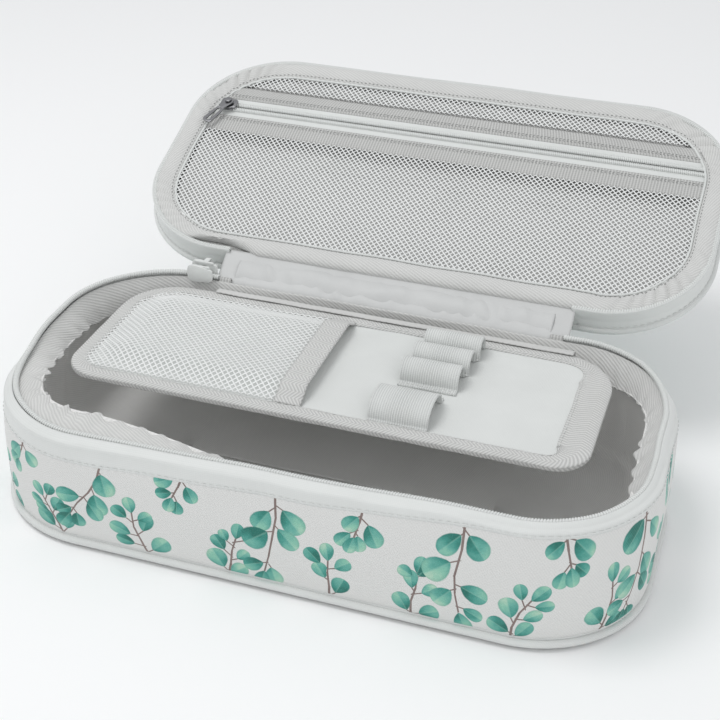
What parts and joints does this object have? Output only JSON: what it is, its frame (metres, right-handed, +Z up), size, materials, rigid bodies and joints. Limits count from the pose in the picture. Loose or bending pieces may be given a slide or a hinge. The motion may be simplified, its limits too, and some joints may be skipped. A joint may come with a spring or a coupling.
{
  "type": "pencil case",
  "caption": "Soft zip-round pencil case with a leaf-printed wall, a hinged lid with a zipped mesh pocket, and a hinged divider with a net pocket and elastic pen loops.",
  "frame": {"origin": "centre of the underside of the body's base, where the case stands", "axes": "+X along the case's length, +Y towards the hinge side, +Z up; the lid stands open at rest"},
  "size_m": [0.2226, 0.2263, 0.0914],
  "materials": {
    "printed_fabric": "off-white polyester with a soft twill emboss and a printed watercolour leaf sprig pattern in teal",
    "plain_fabric": "plain off-white woven polyester",
    "piping": "white fabric-covered piping",
    "stiffener": "hidden plastic stiffener sheet",
    "foam": "hidden polyethylene foam padding",
    "lining_twill": "white ribbed twill lining",
    "lining_plain": "plain light lining cloth",
    "zip_tape": "smooth woven zip tape",
    "zip_coil": "white nylon coil",
    "hinge_satin": "smooth white satin cloth",
    "net": "white diamond mesh netting",
    "grosgrain": "ribbed white grosgrain ribbon",
    "twill_binding": "ribbed white twill binding tape",
    "divider_cloth": "white cloth over a thin plastic sheet",
    "elastic": "white ribbed elastic",
    "dark_metal": "dark nickel plating",
    "white_enamel": "white enamel on metal"
  },
  "bodies": {
    "case_body": {"base_panel": "plain_fabric", "base_board": "stiffener", "base_piping": "piping", "printed_wall": "printed_fabric", "wall_foam": "foam", "body_lining": "lining_twill", "body_rim_binding": "lining_twill", "body_zipper_tape": "zip_tape", "body_zipper_coil": "zip_coil", "zip_end_tab_left": "zip_tape", "zip_end_tab_right": "zip_tape", "hinge_strip_lower": "hinge_satin", "divider_hinge_tape": "grosgrain"},
    "lid": {"lid_panel": "printed_fabric", "lid_board": "stiffener", "lid_piping": "piping", "lid_wall_foam": "foam", "lid_lining_band": "lining_twill", "lid_lining_panel": "lining_plain", "lid_zipper_tape": "zip_tape", "lid_zipper_coil": "zip_coil", "hinge_strip_upper": "hinge_satin", "pocket_mesh_upper": "net", "pocket_binding_upper": "grosgrain", "pocket_zipper_tape_upper": "zip_tape", "pocket_coil_upper": "zip_coil", "pocket_coil_lower": "zip_coil", "pocket_zipper_tape_lower": "zip_tape", "pocket_binding_lower": "grosgrain", "pocket_mesh_main": "net"},
    "pocket_slider_body": {"pocket_slider": "dark_metal"},
    "pocket_pull_body": {"pocket_pull": "dark_metal"},
    "main_slider_body": {"main_slider": "white_enamel"},
    "main_pull_body": {"main_pull": "white_enamel"},
    "divider": {"divider_panel": "divider_cloth", "divider_binding": "twill_binding", "divider_mesh_pocket": "net", "pocket_mouth_binding": "twill_binding", "elastic_loop_1": "elastic", "elastic_loop_2": "elastic", "elastic_loop_3": "elastic", "elastic_loop_4": "elastic"}
  },
  "joints": [
    {"name": "lid_hinge", "type": "hinge", "parent": "case_body", "child": "lid", "pos_m": [0, 0.0593, 0.0497], "axis": [-1, 0, 0], "range_deg": [-159, 38]},
    {"name": "divider_hinge", "type": "hinge", "parent": "case_body", "child": "divider", "pos_m": [0, 0.049, 0.042], "axis": [-1, 0, 0], "range_deg": [-25, 88]},
    {"name": "main_slider_travel", "type": "hinge", "parent": "case_body", "child": "main_slider_body", "pos_m": [-0.0715, 0.0165, 0.046], "axis": [0, 0, 1], "range_deg": [0, 90]},
    {"name": "main_pull_swing", "type": "hinge", "parent": "main_slider_body", "child": "main_pull_body", "pos_m": [-0.0715, 0.0586, 0.0474], "axis": [1, 0, 0], "range_deg": [0, 45]},
    {"name": "pocket_slider_travel", "type": "slide", "parent": "lid", "child": "pocket_slider_body", "axis": [1, 0, 0], "range_m": [0, 0.18]},
    {"name": "pocket_pull_swing", "type": "hinge", "parent": "pocket_slider_body", "child": "pocket_pull_body", "pos_m": [-0.0945, 0.13643, 0.07899], "axis": [0, 0.3584, -0.9336], "range_deg": [-115, 5]}
  ]
}
